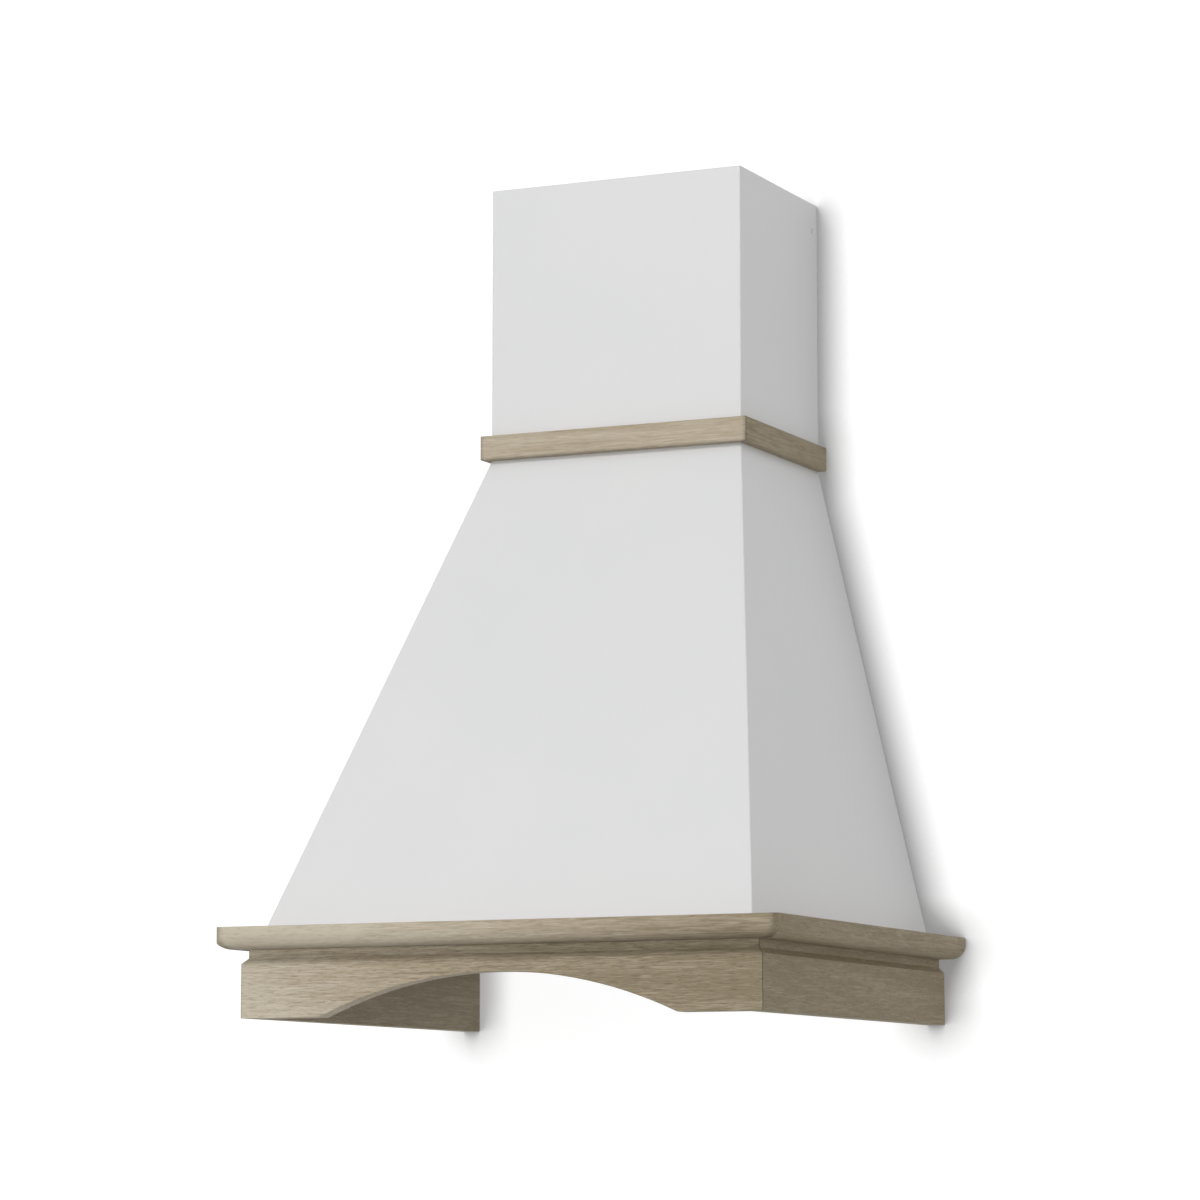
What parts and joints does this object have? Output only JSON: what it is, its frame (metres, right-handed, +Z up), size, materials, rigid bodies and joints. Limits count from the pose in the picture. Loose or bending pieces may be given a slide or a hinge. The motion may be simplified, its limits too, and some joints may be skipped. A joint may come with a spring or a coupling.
{
  "type": "range hood",
  "caption": "Wall-mounted chimney hood: white tapered canopy on an arched oak frame, oak neck trim, grease filters, lamps, push buttons, blower and damper.",
  "frame": {"origin": "middle of the four wall slots, on the wall plane", "axes": "+X to the right seen from the room, +Y into the wall, +Z up"},
  "size_m": [0.6, 0.5, 0.87],
  "materials": {
    "oak": "bleached, matt",
    "white_paint": "satin",
    "galvanised_steel": "matt",
    "zinc_fasteners": "satin",
    "white_screws": "satin",
    "stainless_steel": "brushed",
    "aluminium": "satin",
    "spring_steel": "satin",
    "dark_plastic": "matt",
    "lamp_glass": "frosted",
    "button_plastic": "satin silver",
    "blower_plastic": "matt",
    "motor_enamel": "satin",
    "rubber": "matt",
    "foam": "matt foam"
  },
  "bodies": {
    "hood": {"front_board": "oak", "left_board": "oak", "right_board": "oak", "front_nosing": "oak", "left_nosing": "oak", "right_nosing": "oak", "frame_tenons": "oak", "neck_trim_front": "oak", "neck_trim_left": "oak", "neck_trim_right": "oak", "canopy_shell": "white_paint", "chimney_cover": "white_paint", "back_panel": "galvanised_steel", "chimney_bracket": "galvanised_steel", "motor_bracket": "galvanised_steel", "blower_plate": "galvanised_steel", "trim_screws": "zinc_fasteners", "canopy_screws": "zinc_fasteners", "back_panel_nuts": "zinc_fasteners", "pan_screws": "zinc_fasteners", "scroll_screws": "zinc_fasteners", "motor_screws": "zinc_fasteners", "blower_screws": "zinc_fasteners", "chimney_screws": "white_screws", "base_pan": "stainless_steel", "lamp_bezel_left": "stainless_steel", "lamp_bezel_right": "stainless_steel", "lamp_body_left": "aluminium", "lamp_body_right": "aluminium", "damper_pin": "spring_steel", "control_bezel": "dark_plastic", "switch_block": "dark_plastic", "outlet_collar": "dark_plastic", "lamp_lens_left": "lamp_glass", "lamp_lens_right": "lamp_glass", "scroll_left": "blower_plastic", "scroll_right": "blower_plastic", "junction_box": "blower_plastic", "junction_box_lid": "blower_plastic", "cable_gland": "blower_plastic", "motor": "motor_enamel", "blower_grommets": "rubber", "outlet_gasket": "foam"},
    "impeller": {"impeller": "dark_plastic", "impeller_shaft": "spring_steel"},
    "filter_left": {"filter_frame_left": "aluminium", "filter_mesh_left": "aluminium", "latch_spring_left": "spring_steel"},
    "filter_right": {"filter_frame_right": "aluminium", "filter_mesh_right": "aluminium", "latch_spring_right": "spring_steel"},
    "latch_left": {"filter_latch_left": "dark_plastic"},
    "latch_right": {"filter_latch_right": "dark_plastic"},
    "flap_front": {"damper_flap_front": "dark_plastic"},
    "flap_rear": {"damper_flap_rear": "dark_plastic"},
    "light_button": {"light_button": "button_plastic"},
    "off_button": {"off_button": "button_plastic"},
    "low_speed_button": {"low_speed_button": "button_plastic"},
    "mid_speed_button": {"mid_speed_button": "button_plastic"},
    "high_speed_button": {"high_speed_button": "button_plastic"}
  },
  "joints": [
    {"name": "impeller_spin", "type": "hinge", "parent": "hood", "child": "impeller", "pos_m": [0, -0.1847, -0.0845], "axis": [1, 0, 0], "continuous": true},
    {"name": "filter_left_swing", "type": "hinge", "parent": "hood", "child": "filter_left", "pos_m": [0, -0.0342, -0.26685], "axis": [1, 0, 0], "range_deg": [0, 50]},
    {"name": "latch_left_slide", "type": "slide", "parent": "filter_left", "child": "latch_left", "axis": [0, 1, 0], "range_m": [0, 0.006], "stiffness_N_per_m": 400, "springref_m": -0.003, "deforming": ["latch_spring_left"]},
    {"name": "filter_right_swing", "type": "hinge", "parent": "hood", "child": "filter_right", "pos_m": [0, -0.0342, -0.26685], "axis": [1, 0, 0], "range_deg": [0, 50]},
    {"name": "latch_right_slide", "type": "slide", "parent": "filter_right", "child": "latch_right", "axis": [0, 1, 0], "range_m": [0, 0.006], "stiffness_N_per_m": 400, "springref_m": -0.003, "deforming": ["latch_spring_right"]},
    {"name": "flap_front_swing", "type": "hinge", "parent": "hood", "child": "flap_front", "pos_m": [0, -0.0982, 0.1355], "axis": [-1, 0, 0], "range_deg": [0, 80]},
    {"name": "flap_rear_swing", "type": "hinge", "parent": "hood", "child": "flap_rear", "pos_m": [0, -0.0982, 0.1355], "axis": [1, 0, 0], "range_deg": [0, 80]},
    {"name": "light_press", "type": "slide", "parent": "hood", "child": "light_button", "axis": [0, 0, 1], "range_m": [0, 0.003], "stiffness_N_per_m": 500, "springref_m": -0.002},
    {"name": "off_press", "type": "slide", "parent": "hood", "child": "off_button", "axis": [0, 0, 1], "range_m": [0, 0.003], "stiffness_N_per_m": 500, "springref_m": -0.002},
    {"name": "low_speed_press", "type": "slide", "parent": "hood", "child": "low_speed_button", "axis": [0, 0, 1], "range_m": [0, 0.003], "stiffness_N_per_m": 500, "springref_m": -0.002},
    {"name": "mid_speed_press", "type": "slide", "parent": "hood", "child": "mid_speed_button", "axis": [0, 0, 1], "range_m": [0, 0.003], "stiffness_N_per_m": 500, "springref_m": -0.002},
    {"name": "high_speed_press", "type": "slide", "parent": "hood", "child": "high_speed_button", "axis": [0, 0, 1], "range_m": [0, 0.003], "stiffness_N_per_m": 500, "springref_m": -0.002}
  ]
}
